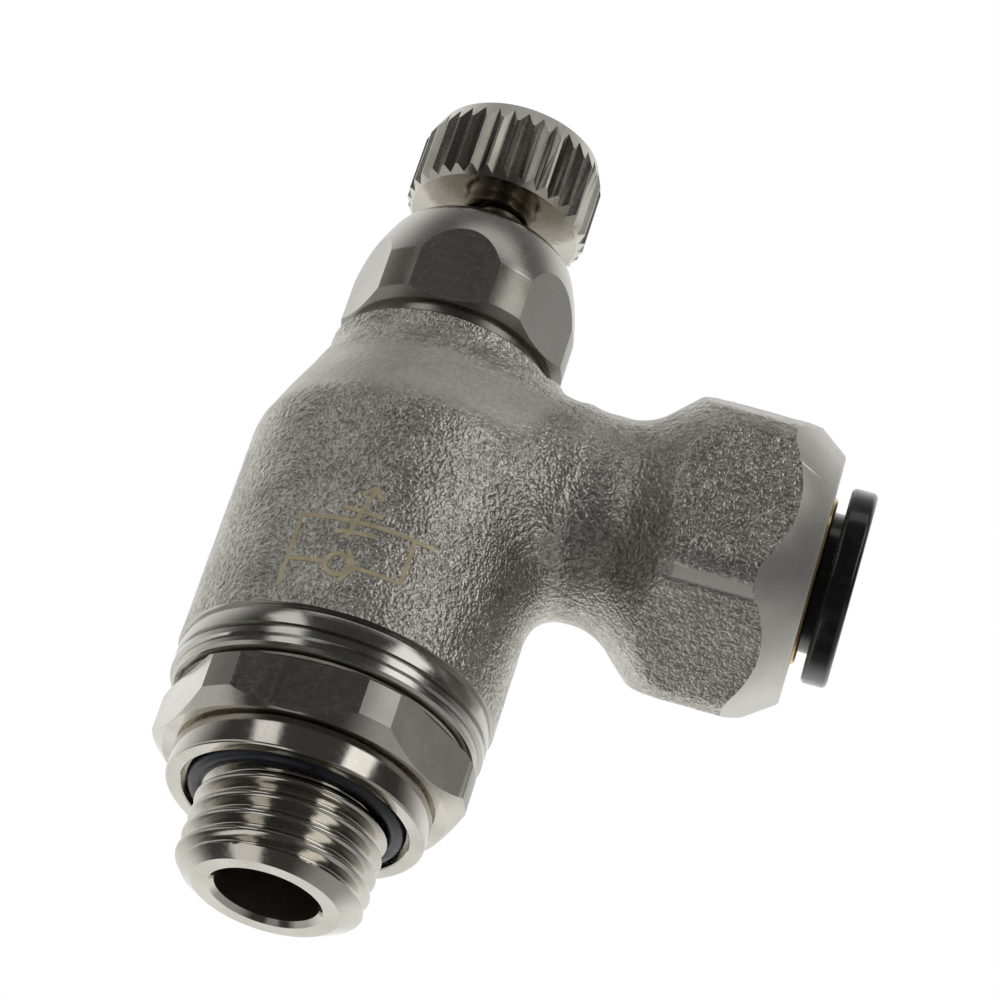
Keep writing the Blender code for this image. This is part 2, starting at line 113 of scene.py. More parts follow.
# Sizes of the forged body
NECK_R = 8.1
NECK_TOP = 42.1
SHOULDER_R = 4.0       # rounding of the barrel's upper end
SHOULDER_Z = 32.4
WAIST_R = 7.4
FLARE_R = 4.0          # rounding between the waist and the boss
BOSS_FLATS = 20.5
BOSS_TURN = 4.0        # degrees the boss is turned from square
BOSS_CORNER_R = 11.35
BOSS_EDGE = 0.25       # rounding of the boss's edges
FACE_R = 8.79          # machined end face
CONE_SLOPE = 0.72      # radius gained per unit of reach on the machined cone
BLEND = 2.6            # fillet between barrel and branch
SPARE = 0.8            # how far the forging runs past its machined ends
STRIP_ANGLE = -39.5    # degrees round the boss from -Y
STRIP_WIDTH = 1.2

SHARP = 28.0           # degrees between faces that are shaded as an edge


# ---------------------------------------------------------------- meshes

def arc(centre_r, centre_z, radius, start, end, steps=8):
    """Points on an arc, angles in degrees from the +radius direction."""
    angles = np.radians(np.linspace(start, end, steps + 1))
    return [(centre_r + radius * math.cos(a), centre_z + radius * math.sin(a)) for a in angles]


def to_object(name, points, faces, place):
    """A mesh object from millimetre points in a local frame."""
    mesh = bpy.data.meshes.new(name)
    mesh.from_pydata([tuple(p) for p in points], [], faces)
    mesh.transform(Matrix.Scale(MM, 4) @ place)
    mesh.validate()
    item = bpy.data.objects.new(name, mesh)
    bpy.context.scene.collection.objects.link(item)
    return item


def shade(item, angle):
    """Shade smooth, and keep the edges sharper than an angle in degrees."""
    item.data.shade_smooth()
    item.data.set_sharp_from_angle(angle=math.radians(angle))


def weld_axis(item):
    """Merge the points that lie on the turning axis."""
    shape = bmesh.new()
    shape.from_mesh(item.data)
    bmesh.ops.remove_doubles(shape, verts=shape.verts, dist=2e-7)
    shape.to_mesh(item.data)
    shape.free()
    shade(item, SHARP)
    return item


def lathe(name, outline, place=VALVE, steps=240, closed=True, radius_at=None):
    """Turn an outline about the local Z axis. radius_at(r, z, angles) can vary the radius."""
    angles = np.linspace(0, 2 * math.pi, steps, endpoint=False)
    rings = []
    for radius, height in outline:
        radii = np.full(steps, float(radius))
        if radius_at is not None:
            radii = radius_at(radius, height, angles)
        rings.append(np.stack([radii * np.cos(angles), radii * np.sin(angles),
                               np.full(steps, float(height))], axis=1))
    points = np.concatenate(rings)
    count = len(outline)
    faces = []
    for i in range(count if closed else count - 1):
        upper, lower = i * steps, (i + 1) % count * steps
        for j in range(steps):
            k = (j + 1) % steps
            faces.append((upper + j, lower + j, lower + k, upper + k))
    return weld_axis(to_object(name, points, faces, place))


def prism(name, outline, bottom, top, place=VALVE):
    """A straight prism over a closed outline of (x, y) points, listed counter-clockwise."""
    count = len(outline)
    points = [(x, y, bottom) for x, y in outline] + [(x, y, top) for x, y in outline]
    faces = [tuple(range(count))[::-1], tuple(range(count, 2 * count))]
    faces += [(i, (i + 1) % count, count + (i + 1) % count, count + i) for i in range(count)]
    return to_object(name, points, faces, place)


def hexagon(flats, turn):
    """Corners of a hexagon whose first flat's normal is at turn degrees."""
    corner = flats / 2 / math.cos(math.radians(30))
    angles = [math.radians(turn + 30 + 60 * i) for i in range(6)]
    return [(corner * math.cos(a), corner * math.sin(a)) for a in angles]


def settle(item):
    """Replace the object's mesh by its evaluated one and drop the modifiers."""
    graph = bpy.context.evaluated_depsgraph_get()
    mesh = bpy.data.meshes.new_from_object(item.evaluated_get(graph), preserve_all_data_layers=True,
                                           depsgraph=graph)
    item.modifiers.clear()
    item.data = mesh
    return item


def combine(item, operation, tools, angle=SHARP):
    """Boolean the tools into the item, then remove them. New faces keep the tool's material."""
    for tool in tools:
        step = item.modifiers.new(tool.name, "BOOLEAN")
        step.operation = operation
        step.solver = "EXACT"
        step.material_mode = "TRANSFER"
        step.object = tool
    settle(item)
    for tool in tools:
        bpy.data.objects.remove(tool, do_unlink=True)
    shape = bmesh.new()
    shape.from_mesh(item.data)
    bmesh.ops.triangulate(shape, faces=[face for face in shape.faces if len(face.verts) > 4])
    shape.to_mesh(item.data)
    shape.free()
    shade(item, angle)
    return item


def soften(item, width):
    """A small chamfer on the sharp edges, so that they catch the light."""
    bevel = item.modifiers.new("edge", "BEVEL")
    bevel.width = width * MM
    bevel.segments = 1
    bevel.limit_method = "ANGLE"
    bevel.angle_limit = math.radians(45)
    bevel.use_clamp_overlap = True
    settle(item)
    shade(item, 40)


def finish_piece(item, body, slot, material=None, stands_for=True):
    """Give a piece its material and its body, and hide the slot's CAD node, which it stands for."""
    if material:
        item.data.materials.clear()
        item.data.materials.append(material)
    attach(item, body)
    if stands_for:
        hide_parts(slot)


# ---------------------------------------------------------------- materials

class Shader:
    """Adds nodes to a node tree, with links or plain values as inputs."""

    def __init__(self, tree):
        self.tree = tree

    def node(self, kind, inputs=None, **settings):
        made = self.tree.nodes.new("ShaderNode" + kind)
        for name, value in settings.items():
            setattr(made, name, value)
        for key, value in (inputs or {}).items():
            if isinstance(value, bpy.types.NodeSocket):
                self.tree.links.new(value, made.inputs[key])
            else:
                made.inputs[key].default_value = value
        return made

    def math(self, operation, *values):
        made = self.node("Math", dict(enumerate(values)), operation=operation)
        return made.outputs[0]

    def ramp(self, value, low, high, start=0.0, end=1.0):
        """Map low..high smoothly to start..end."""
        made = self.node("MapRange", {"Value": value, "From Min": low, "From Max": high,
                                      "To Min": start, "To Max": end},
                         interpolation_type="SMOOTHSTEP")
        return made.outputs[0]

    def window(self, value, low, high, soft):
        """1 between low and high, with soft edges."""
        return self.math("MULTIPLY", self.ramp(value, low - soft / 2, low + soft / 2),
                         self.ramp(value, high + soft / 2, high - soft / 2))

    def total(self, *terms):
        """Sum of (value, weight) terms."""
        result = 0.0
        for value, weight in terms:
            result = self.math("MULTIPLY_ADD", value, weight, result)
        return result

    def mix(self, share, first, second):
        made = self.node("Mix", {0: share, 6: first, 7: second}, data_type="RGBA")
        return made.outputs[2]

    def noise(self, vector, scale, detail=2.0):
        made = self.node("TexNoise", {"Vector": vector, "Scale": scale, "Detail": detail})
        return made.outputs[0]

    def bump(self, height, distance, normal=None):
        """Distance is in millimetres."""
        inputs = {"Height": height, "Distance": distance * MM, "Strength": 1.0}
        if normal is not None:
            inputs["Normal"] = normal
        return self.node("Bump", inputs).outputs[0]


def millimetres(shader):
    """Position on the piece in millimetres, from the valve axis at the thread's free end."""
    place = shader.node("TexCoord").outputs["Object"]
    scaled = shader.node("VectorMath", {0: place, 1: (1000.0,) * 3}, operation="MULTIPLY")
    moved = shader.node("VectorMath", {0: scaled.outputs[0], 1: (AXIS_X, AXIS_Y, 0.0)},
                        operation="SUBTRACT")
    return moved.outputs[0]


def turning_coordinates(shader, about_branch):
    """(radius, height, 0) about the valve axis, or (radius, reach, 0) about the branch axis."""
    parts = shader.node("SeparateXYZ", {0: millimetres(shader)})
    x, y, z = parts.outputs
    if about_branch:
        up = shader.math("SUBTRACT", z, BRANCH_Z)
        radius = shader.math("POWER", shader.math("ADD", shader.math("POWER", y, 2.0),
                                                  shader.math("POWER", up, 2.0)), 0.5)
        height = x
    else:
        radius = shader.math("POWER", shader.math("ADD", shader.math("POWER", x, 2.0),
                                                  shader.math("POWER", y, 2.0)), 0.5)
        height = z
    return shader.node("CombineXYZ", {0: radius, 1: height, 2: 0.0}).outputs[0]


def new_material(name):
    material = bpy.data.materials.new(name)
    material.use_nodes = True
    shader = Shader(material.node_tree)
    surface = material.node_tree.nodes["Principled BSDF"]
    return material, shader, surface


def connect(shader, surface, **inputs):
    """Link nodes to the surface's inputs, or set plain values, by the inputs' names."""
    for name, value in inputs.items():
        socket = surface.inputs[name.replace("_", " ").title()]
        if isinstance(value, bpy.types.NodeSocket):
            shader.tree.links.new(value, socket)
        else:
            socket.default_value = value


def turned_metal(name, light, dark, roughness, rings=0.35, about_branch=False, line=9.0,
                 waves=0.006):
    """Turned metal: rings left by the tool, faint stains and fine scratches.

    rings is the depth of the tool marks in hundredths of a millimetre, line how close together
    they are, and waves the height in millimetres of the low waves that plating leaves.
    """
    material, shader, surface = new_material(name)
    place = millimetres(shader)
    turned = turning_coordinates(shader, about_branch)
    marks = shader.noise(turned, line, 3.0)
    stains = shader.noise(place, 0.22, 3.0)
    grain = shader.noise(place, 3.5, 3.0)
    shade = shader.ramp(shader.math("ADD", shader.math("MULTIPLY", stains, 0.75),
                                    shader.math("MULTIPLY", grain, 0.25)), 0.32, 0.68)
    colour = shader.mix(shade, (*dark, 1.0), (*light, 1.0))
    rough = shader.math("ADD", roughness,
                        shader.math("MULTIPLY", shader.math("SUBTRACT", grain, 0.5), 0.12))
    rough = shader.math("ADD", rough,
                        shader.math("MULTIPLY", shader.math("SUBTRACT", marks, 0.5), 0.10))
    normal = shader.bump(marks, rings * 0.01)
    normal = shader.bump(shader.noise(place, 1.1, 2.0), waves, normal)
    connect(shader, surface, base_color=colour, metallic=1.0, roughness=rough, normal=normal)
    return material


def forged_metal(name):
    """Blasted forging: sparkling grain, smoother where the die was polished."""
    material, shader, surface = new_material(name)
    place = millimetres(shader)
    polish = shader.node("Attribute", attribute_name="polish").outputs["Fac"]
    rough_share = shader.math("SUBTRACT", 1.0, polish)
    ground = shader.ramp(polish, 0.88, 0.97)
    pebbles = shader.noise(place, 2.5, 1.5)
    fine = shader.noise(place, 5.0, 2.0)
    patches = shader.noise(place, 0.35, 3.0)
    tone = shader.ramp(shader.total((patches, 0.3), (fine, 0.3), (pebbles, 0.4)), 0.36, 0.64)
    colour = shader.mix(tone, (0.38, 0.36, 0.315, 1.0), (0.69, 0.67, 0.61, 1.0))
    colour = shader.mix(shader.math("MULTIPLY", polish, 0.7), colour, (0.78, 0.77, 0.72, 1.0))
    colour = shader.mix(ground, colour, (0.84, 0.82, 0.75, 1.0))
    depth = shader.math("ADD", 0.10, shader.math("MULTIPLY", rough_share, 0.90))
    height = shader.math("MULTIPLY", shader.total((pebbles, 1.0), (fine, 0.4)), depth)
    normal = shader.bump(height, 0.15)
    rough = shader.total((0.29, 1.0), (polish, 0.14), (fine, 0.10))
    metal = shader.total((1.0, 1.0), (ground, -0.8))
    connect(shader, surface, base_color=colour, metallic=metal, roughness=rough, normal=normal)
    return material


def moulded(name, light, dark, roughness, grain, coat=0.0):
    """Rubber or plastic: faint mottling, fine surface grain and a little dust."""
    material, shader, surface = new_material(name)
    place = millimetres(shader)
    mottle = shader.ramp(shader.noise(place, 0.9, 4.0), 0.35, 0.65)
    fine = shader.noise(place, 6.0, 3.0)
    colour = shader.mix(mottle, (*dark, 1.0), (*light, 1.0))
    rough = shader.math("ADD", roughness,
                        shader.math("MULTIPLY", shader.math("SUBTRACT", mottle, 0.5), 0.12))
    connect(shader, surface, base_color=colour, roughness=rough,
            normal=shader.bump(fine, grain), coat_weight=coat, coat_roughness=0.12)
    return material


def laser_line():
    """Laser marking: pale gold, slightly porous."""
    material, shader, surface = new_material("laser_line")
    place = millimetres(shader)
    pores = shader.noise(place, 7.0, 2.0)
    tone = shader.ramp(shader.noise(place, 1.2, 3.0), 0.3, 0.7)
    colour = shader.mix(tone, (0.68, 0.59, 0.36, 1.0), (0.88, 0.79, 0.53, 1.0))
    connect(shader, surface, base_color=colour, metallic=0.2, roughness=0.5,
            normal=shader.bump(pores, 0.02))
    return material


NICKEL = turned_metal("nickel", (0.64, 0.615, 0.56), (0.50, 0.475, 0.42), 0.13, 0.07)
# Rougher, darker copy of the nickel for the dome: a satin finish, and a darker colour that is
# painted shade.
DOME_SHADE_NICKEL = turned_metal("dome_painted_shade_nickel", (0.52, 0.50, 0.46), (0.45, 0.435, 0.395), 0.24, 0.6,
                           line=4.0, waves=0.002)
# Rougher, darker copy of the nickel for the stud's hex corners: a satin finish, and a darker colour
# that is painted shade.
SATIN_SHADE_NICKEL = turned_metal("satin_painted_shade_nickel", (0.50, 0.485, 0.44), (0.40, 0.385, 0.34), 0.42, 0.5)
# Darker copy of the nickel: painted shade on the bonnet's hex corners, underside and undercut.
PAINTED_SHADE_NICKEL = turned_metal("painted_shade_nickel", (0.34, 0.325, 0.285), (0.22, 0.21, 0.18), 0.30, 0.5)
# Paler copy of the nickel: painted light on the knob's top taper.
PAINTED_LIGHT_NICKEL = turned_metal("painted_light_nickel", (0.88, 0.86, 0.79), (0.78, 0.76, 0.69), 0.45, 0.4)
# Rougher, darker copy of the nickel for the port bore: a rougher finish, and a darker colour that
# is painted shade in the recess.
BORE_SHADE_NICKEL = turned_metal("bore_painted_shade_nickel", (0.50, 0.48, 0.42), (0.36, 0.345, 0.30), 0.32, 0.6)
KNURL_NICKEL = turned_metal("knurl_nickel", (0.40, 0.385, 0.34), (0.27, 0.26, 0.22), 0.28, 0.20)
MACHINED = turned_metal("machined_body", (0.56, 0.55, 0.51), (0.47, 0.46, 0.42), 0.17, 0.3)
# Lighter, rougher copy of the machined metal for the branch's cone and socket: a rougher finish,
# and a lighter colour that is painted light.
BORED_PAINTED_LIGHT = turned_metal("machined_branch_painted_light", (0.70, 0.69, 0.64), (0.58, 0.57, 0.52), 0.40, 0.6, True)
BRASS = turned_metal("brass", (0.83, 0.66, 0.36), (0.72, 0.53, 0.25), 0.24, 0.3, True)
INNER_BRASS = turned_metal("inner_brass", (0.83, 0.66, 0.36), (0.70, 0.52, 0.25), 0.26, 0.3)
STEEL = turned_metal("screw_steel", (0.34, 0.30, 0.24), (0.22, 0.19, 0.15), 0.30, 0.2)
SPRING_STEEL = turned_metal("spring_steel", (0.62, 0.60, 0.57), (0.48, 0.46, 0.43), 0.24, 0.2, True)
FORGED = forged_metal("forged_metal")
RUBBER = moulded("rubber", (0.020, 0.022, 0.030), (0.010, 0.011, 0.016), 0.34, 0.010)
PLASTIC = moulded("black_plastic", (0.014, 0.014, 0.015), (0.008, 0.008, 0.009), 0.26, 0.006, 0.4)
POLYMER = moulded("pale_polymer", (0.78, 0.75, 0.67), (0.66, 0.62, 0.53), 0.42, 0.012)
LASER = laser_line()


# ---------------------------------------------------------------- port stud

def helix_phase(height, angles, pitch):
    """Share of a thread pitch, 0 to 1, at a height and angle on a right-hand thread."""
    return np.mod(height / pitch - angles / (2 * math.pi), 1.0)


def port_radius(radius, height, angles):
    """The rounded port thread, fading into the chamfered free end."""
    if abs(radius - THREAD_R) > 1e-6:
        return np.full(len(angles), float(radius))
    fade = min(1.0, max(0.0, (height - 0.15) / THREAD_FADE))
    wave = 0.5 + 0.5 * np.cos(2 * math.pi * helix_phase(height, angles, THREAD_PITCH))
    cut = THREAD_DEPTH * wave * fade
    chamfer = CHAMFER_R + height * CHAMFER_SLOPE
    return np.minimum(THREAD_R - cut, np.maximum(chamfer, THREAD_END_R))


def hex_sleeve(name, flats, turn, bottom, top):
    """A sleeve with a hexagonal hole: subtracting it leaves a hexagon."""
    outside, inside = 16.0, 1.0
    outline = [(outside, top), (outside, bottom), (inside, bottom), (inside, top)]
    sleeve = lathe(name, outline, steps=48)
    hole = prism(name + "_hole", hexagon(flats, turn), bottom - 1.0, top + 1.0)
    return combine(sleeve, "DIFFERENCE", [hole])


def paint(item, material, chosen):
    """Give another material to the faces that chosen(radius, height, normal_z) picks."""
    item.data.materials.append(material)
    for face in item.data.polygons:
        x, y, z = face.center / MM
        if chosen(math.hypot(x - AXIS_X, y - AXIS_Y), z, face.normal.z):
            face.material_index = len(item.data.materials) - 1


def build_port_stud():
    """Thread, collar, spanner hexagon and hollow stem, in one turned piece."""
    top, cap_r, neck_r, stem_r, journal_r = 50.0, 5.2, 6.3, 5.0, 7.7
    outline = [(cap_r - 0.5, top), (cap_r, top - 0.5), (cap_r, 45.2), (4.2, 45.2), (4.2, 43.7),
               (cap_r, 43.7), (cap_r, 42.0), (neck_r, 42.0), (neck_r, 40.9), (5.1, 40.9),
               (5.1, 39.3), (neck_r, 39.3), (neck_r, 38.1), (stem_r, 37.2), (stem_r, 30.7),
               (4.4, 30.7), (4.4, 29.7), (stem_r, 29.7), (stem_r, 26.4), (6.2, 26.4),
               (6.2, 25.4), (stem_r, 25.4), (stem_r, 20.2), (journal_r, 19.4),
               (journal_r, 18.1), (6.2, 18.1), (6.2, 16.3), (journal_r, 16.3),
               (journal_r, HEX_TOP),
               (HEX_CORNER_R - 0.35, HEX_TOP), (HEX_CORNER_R, HEX_TOP - 0.3),
               (HEX_CORNER_R, COLLAR_TOP + 0.95), (9.85, COLLAR_TOP),
               (COLLAR_R - 0.35, COLLAR_TOP), (COLLAR_R - 0.35, COLLAR_TOP - 0.2),
               (COLLAR_R, COLLAR_TOP - 0.35)]
    outline += arc(COLLAR_R - 0.25, SEAT_Z + 0.25, 0.25, 0, -90, 4)
    outline += [(GROOVE_R + 0.08, SEAT_Z), (GROOVE_R, SEAT_Z + 0.08), (GROOVE_R, GROOVE_TOP),
                (THREAD_R - THREAD_DEPTH, GROOVE_TOP)]
    outline += [(THREAD_R, height) for height in np.arange(SEAT_Z + 0.15, 0.0, -0.04)]
    outline += [(THREAD_END_R, 0.0), (PORT_BORE_R + 0.35, 0.0), (PORT_BORE_R, 0.35),
                (PORT_BORE_R, 25.1), (2.6, 25.1), (2.6, 26.2), (CHAMBER_R, 26.6), (CHAMBER_R, top)]
    stud = lathe("stud", outline, radius_at=port_radius)
    stud.data.materials.append(NICKEL)
    tools = [hex_sleeve("flats", HEX_FLATS, HEX_TURN, COLLAR_TOP - 0.1, HEX_TOP + 0.5)]
    for level, radius in ((BRANCH_Z, 1.4), (22.6, 1.2)):
        bar = [(0.0, 10.0), (radius, 10.0), (radius, 2.0), (0.0, 2.0)]
        for turn in range(45, 360, 90):
            spin = Matrix.Rotation(math.radians(turn), 4, "Z") @ Matrix.Rotation(
                math.radians(90), 4, "X")
            place = VALVE @ Matrix.Translation((0, 0, level)) @ spin
            tools.append(lathe("cross_port", bar, place, 32, closed=False))
    combine(stud, "DIFFERENCE", tools, angle=22)
    # The bore takes the rougher nickel, whose darker colour is painted shade inside the recess.
    paint(stud, BORE_SHADE_NICKEL, lambda r, z, n: r < PORT_BORE_R + 0.05 and z > 0.4)
    # The hex's corner strips take the satin nickel, whose darker colour is painted shade.
    paint(stud, SATIN_SHADE_NICKEL, lambda r, z, n: r > HEX_CORNER_R - 0.02 and z > COLLAR_TOP)
    finish_piece(stud, "port", "port_stud")


# ---------------------------------------------------------------- forged body

def barrel_radius(height):
    """Outside of the forged barrel: neck, sloping shoulder and straight wall."""
    shoulder = arc(BARREL_R - SHOULDER_R, SHOULDER_Z, SHOULDER_R, 0, 21, 8)
    heights = [0.0] + [h for r, h in shoulder] + [36.2, 38.0, 40.2, 41.0, 60.0]
    radii = [BARREL_R] + [r for r, h in shoulder] + [9.9, 9.15, 8.3, NECK_R, NECK_R]
    return np.interp(height, heights, radii)


def branch_radius(reach):
    """Outside of the forged branch: a waist that flares to the boss."""
    inner = arc(WAIST_R + FLARE_R, 12.4, FLARE_R, 200, 180, 4)
    outer = arc(WAIST_R + FLARE_R, 13.6, FLARE_R, 180, 138, 8)
    boss = arc(BOSS_CORNER_R - FLARE_R, 21.0, FLARE_R, -42, 0, 8)
    points = inner + outer + boss
    return np.interp(reach, [s for r, s in points], [r for r, s in points])


def smooth_min(first, second, width):
    """The smaller of two distances, with a rounded change from one to the other."""
    share = np.clip(0.5 + 0.5 * (second - first) / width, 0, 1)
    return second * (1 - share) + first * share - width * share * (1 - share)


def forged_distance(points):
    """Distance in millimetres from points to the forged blank's surface, below zero inside.

    The factors on barrel and branch make up for their sloping stretches.
    """
    x, y, z = (points - np.array([AXIS_X, AXIS_Y, 0.0])).T
    barrel = (np.hypot(x, y) - barrel_radius(z)) * 0.97
    barrel = np.maximum(barrel, np.maximum(z - NECK_TOP - SPARE, BODY_BOTTOM - SPARE - z))
    up = z - BRANCH_Z
    branch = (np.hypot(y, up) - branch_radius(x)) * 0.9
    turns = np.radians([BOSS_TURN, BOSS_TURN + 60, BOSS_TURN + 120])
    flats = np.max([np.abs(y * math.cos(a) + up * math.sin(a)) for a in turns], axis=0)
    branch = -smooth_min(-branch, BOSS_FLATS / 2 - flats, BOSS_EDGE)
    branch = np.maximum(branch, np.maximum(x - FACE - SPARE, 3.0 - x))
    return smooth_min(barrel, branch, BLEND)


def distance_slope(points, step=0.02):
    """Gradient of forged_distance."""
    slopes = []
    for axis in range(3):
        shift = np.zeros(3)
        shift[axis] = step
        rise = forged_distance(points + shift) - forged_distance(points - shift)
        slopes.append(rise / (2 * step))
    return np.stack(slopes, axis=1)


def strip_share(points):
    """1 on the two narrow strips that run along the boss where flash was ground off."""
    x, y, z = (points - np.array([AXIS_X, AXIS_Y, BRANCH_Z])).T
    angle = np.degrees(np.arctan2(z, -y))
    share = np.zeros(len(points))
    for centre in (STRIP_ANGLE, STRIP_ANGLE + 180):
        off = np.abs((angle - centre + 180) % 360 - 180) * math.pi / 180 * BOSS_CORNER_R
        share = np.maximum(share, np.clip((STRIP_WIDTH / 2 + 0.15 - off) / 0.3, 0, 1))
    return share * np.clip((x - 18.6) / 1.2, 0, 1)


def polish_share(points):
    """0 on blasted skin and up to 1 on the smooth shoulder and strips."""
    x, y, z = (points - np.array([AXIS_X, AXIS_Y, 0.0])).T
    shoulder = np.clip((z - 33.0) / 1.4, 0, 1) * np.clip((39.4 - z) / 1.2, 0, 1)
    near_barrel = np.clip((11.6 - np.hypot(x, y)) / 0.8, 0, 1)
    return np.maximum(0.85 * shoulder * near_barrel, strip_share(points))


def forged_blank():
    """The blank as forged: a voxel skin drawn onto forged_distance, with low grain."""
    top, foot, end = NECK_TOP + SPARE, BODY_BOTTOM - SPARE, FACE + SPARE
    barrel = [(0.0, top), (NECK_R, top), (NECK_R, 41.0), (9.9, 36.2), (BARREL_R, SHOULDER_Z),
              (BARREL_R, foot), (0.0, foot)]
    branch = [(0.0, end), (BOSS_CORNER_R, end), (BOSS_CORNER_R, 20.5), (WAIST_R, 14.0),
              (WAIST_R, 5.0), (0.0, 5.0)]
    blank = lathe("forging", barrel, VALVE, 96, closed=False)
    other = lathe("branch_blank", branch, BRANCH, 96, closed=False)
    combine(blank, "UNION", [other])
    remesh = blank.modifiers.new("skin", "REMESH")
    remesh.mode = "VOXEL"
    remesh.voxel_size = 0.25 * MM
    settle(blank)
    count = len(blank.data.vertices)
    flat = np.zeros(count * 3, np.float32)
    blank.data.vertices.foreach_get("co", flat)
    points = flat.reshape(-1, 3).astype(float) / MM
    for _ in range(5):
        slope = distance_slope(points)
        size = np.maximum((slope ** 2).sum(axis=1), 0.2)
        points -= slope * (forged_distance(points) / size)[:, None]
    slope = distance_slope(points)
    normal = slope / np.linalg.norm(slope, axis=1)[:, None]
    polish = polish_share(points)
    rise = np.array([blob(p) for p in points]) * (1 - 0.85 * polish) - 0.05 * strip_share(points)
    points += normal * rise[:, None]
    blank.data.vertices.foreach_set("co", (points * MM).astype(np.float32).ravel())
    layer = blank.data.attributes.new("polish", "FLOAT", "POINT")
    layer.data.foreach_set("value", polish.astype(np.float32))
    blank.data.update()
    return blank


def blob(point):
    """Height in millimetres of the blasted grain at a point."""
    return 0.022 * noise.noise(Vector(point) * 0.9) + 0.020 * noise.noise(Vector(point) * 2.1)


def body_cutters():
    """What is machined off the forging: ends, bands, bores and the cone on the boss.

    Every outline starts and ends on the turning axis and runs well past the forging.
    """
    wide = 13.5
    bands = [(0.0, BODY_BOTTOM), (10.45, 13.0), (10.65, 13.2), (10.65, 13.65), (10.9, 13.75),
             (10.9, 14.15), (10.6, 14.25), (10.6, 14.45), (10.9, 14.55), (10.9, 15.6),
             (10.75, 15.9), (11.3, 16.1), (wide, 16.1), (wide, BODY_BOTTOM - 2),
             (0.0, BODY_BOTTOM - 2)]
    top = [(0.0, NECK_TOP + 2), (8.6, NECK_TOP + 2), (8.6, NECK_TOP - 0.65),
           (NECK_R - 0.15, NECK_TOP), (0.0, NECK_TOP)]
    bore = [(0.0, NECK_TOP + 1), (6.8, NECK_TOP + 1), (6.8, NECK_TOP), (6.6, NECK_TOP - 0.2),
            (6.6, 38.7), (8.0, 37.8), (8.0, 12.0), (0.0, 12.0)]
    cone = [(0.0, FACE + 2), (wide, FACE + 2),
            (wide, FACE - (wide - FACE_R) / CONE_SLOPE), (FACE_R + 0.08, FACE - 0.12),
            (FACE_R - 0.10, FACE), (0.0, FACE)]
    socket = [(0.0, FACE + 1), (6.25, FACE + 1), (6.25, FACE),
              (6.1, FACE - 0.15), (6.1, 17.5), (4.2, 17.5), (4.2, 13.5), (3.0, 13.5),
              (3.0, 5.0), (0.0, 5.0)]
    tools = []
    # The cone and socket take the lighter machined metal, whose lighter colour is painted light.
    for name, outline, place, material in (
            ("cone", cone, BRANCH, BORED_PAINTED_LIGHT), ("socket", socket, BRANCH, BORED_PAINTED_LIGHT),
            ("bands", bands, VALVE, MACHINED), ("top", top, VALVE, MACHINED),
            ("bore", bore, VALVE, MACHINED)):
        tool = lathe(name, outline, place, 180, closed=False)
        tool.data.materials.append(material)
        tools.append(tool)
    return tools


def build_body():
    body = forged_blank()
    body.data.materials.clear()
    body.data.materials.append(FORGED)
    combine(body, "DIFFERENCE", body_cutters(), angle=32)
    body.name = "forged_body"
    finish_piece(body, "housing", "swivel_body")


# ---------------------------------------------------------------- flow symbol

LINE = 0.31            # width of a laser line
SYMBOL_Z = 21.3
SYMBOL_TURN = -93.3    # degrees from +X


def on_barrel(point, radius):
    """A point of the flat drawing, wrapped round the barrel at a radius."""
    angle = math.radians(SYMBOL_TURN) + point[0] / BARREL_R
    return (radius * math.cos(angle), radius * math.sin(angle), SYMBOL_Z + point[1])


def dense(path, step=0.35):
    """The path with points added so that it follows the barrel."""
    points = [Vector(path[0])]
    for first, second in zip(path, path[1:]):
        first, second = Vector(first), Vector(second)
        parts = max(1, math.ceil((second - first).length / step))
        points += [first.lerp(second, (i + 1) / parts) for i in range(parts)]
    return points


def ribbon(path, points, faces):
    """Add one closed raised line to the lists of points and faces."""
    inner, outer = BARREL_R - 0.12, BARREL_R + 0.035
    track = dense(path)
    closed = (track[0] - track[-1]).length < 1e-6
    if closed:
        track = track[:-1]
    count, base = len(track), len(points)
    for i, here in enumerate(track):
        before = track[i - 1] if i or closed else here
        after = track[(i + 1) % count] if i < count - 1 or closed else here
        side = (after - before).normalized().orthogonal() * LINE / 2
        for offset, radius in ((-1, inner), (1, inner), (1, outer), (-1, outer)):
            points.append(on_barrel(here + side * offset, radius))
    for i in range(count if closed else count - 1):
        this, next_one = base + 4 * i, base + 4 * ((i + 1) % count)
        for k in range(4):
            faces.append((this + k, this + (k + 1) % 4, next_one + (k + 1) % 4, next_one + k))
    if not closed:
        last = base + 4 * (count - 1)
        faces.append((base + 3, base + 2, base + 1, base))
        faces.append((last, last + 1, last + 2, last + 3))


def circle(x, y, radius, start=0, end=360, steps=28):
    return [(x + radius * math.cos(math.radians(start + (end - start) * i / steps)),
             y + radius * math.sin(math.radians(start + (end - start) * i / steps)))
            for i in range(steps + 1)]


def symbol_paths():
    """One-way flow control: an adjustable restrictor above a check valve, joined in parallel."""
    left, right, rail, low = -4.2, 3.7, 1.5, -1.9
    ball, ball_r = -0.7, 0.8
    seat = ball + ball_r + 0.35
    paths = [[(left, low - 2.2), (left, rail), (right + 1.5, rail)],
             [(right, rail), (right, low), (seat + 0.1, low)], [(left, low), (ball - ball_r, low)],
             circle(ball, low, ball_r), [(seat - 0.75, low + 1.25), (seat, low),
                                         (seat - 0.75, low - 1.25)]]
    for side in (-1, 1):
        paths.append([(-1.6, rail + side * 0.95), (1.2, rail + side * 0.75)])
    tip = (0.25, rail + 2.9)
    return paths + [[(-0.75, rail - 1.4), tip], [(-0.6, rail + 2.1), tip, (0.85, rail + 1.9)]]


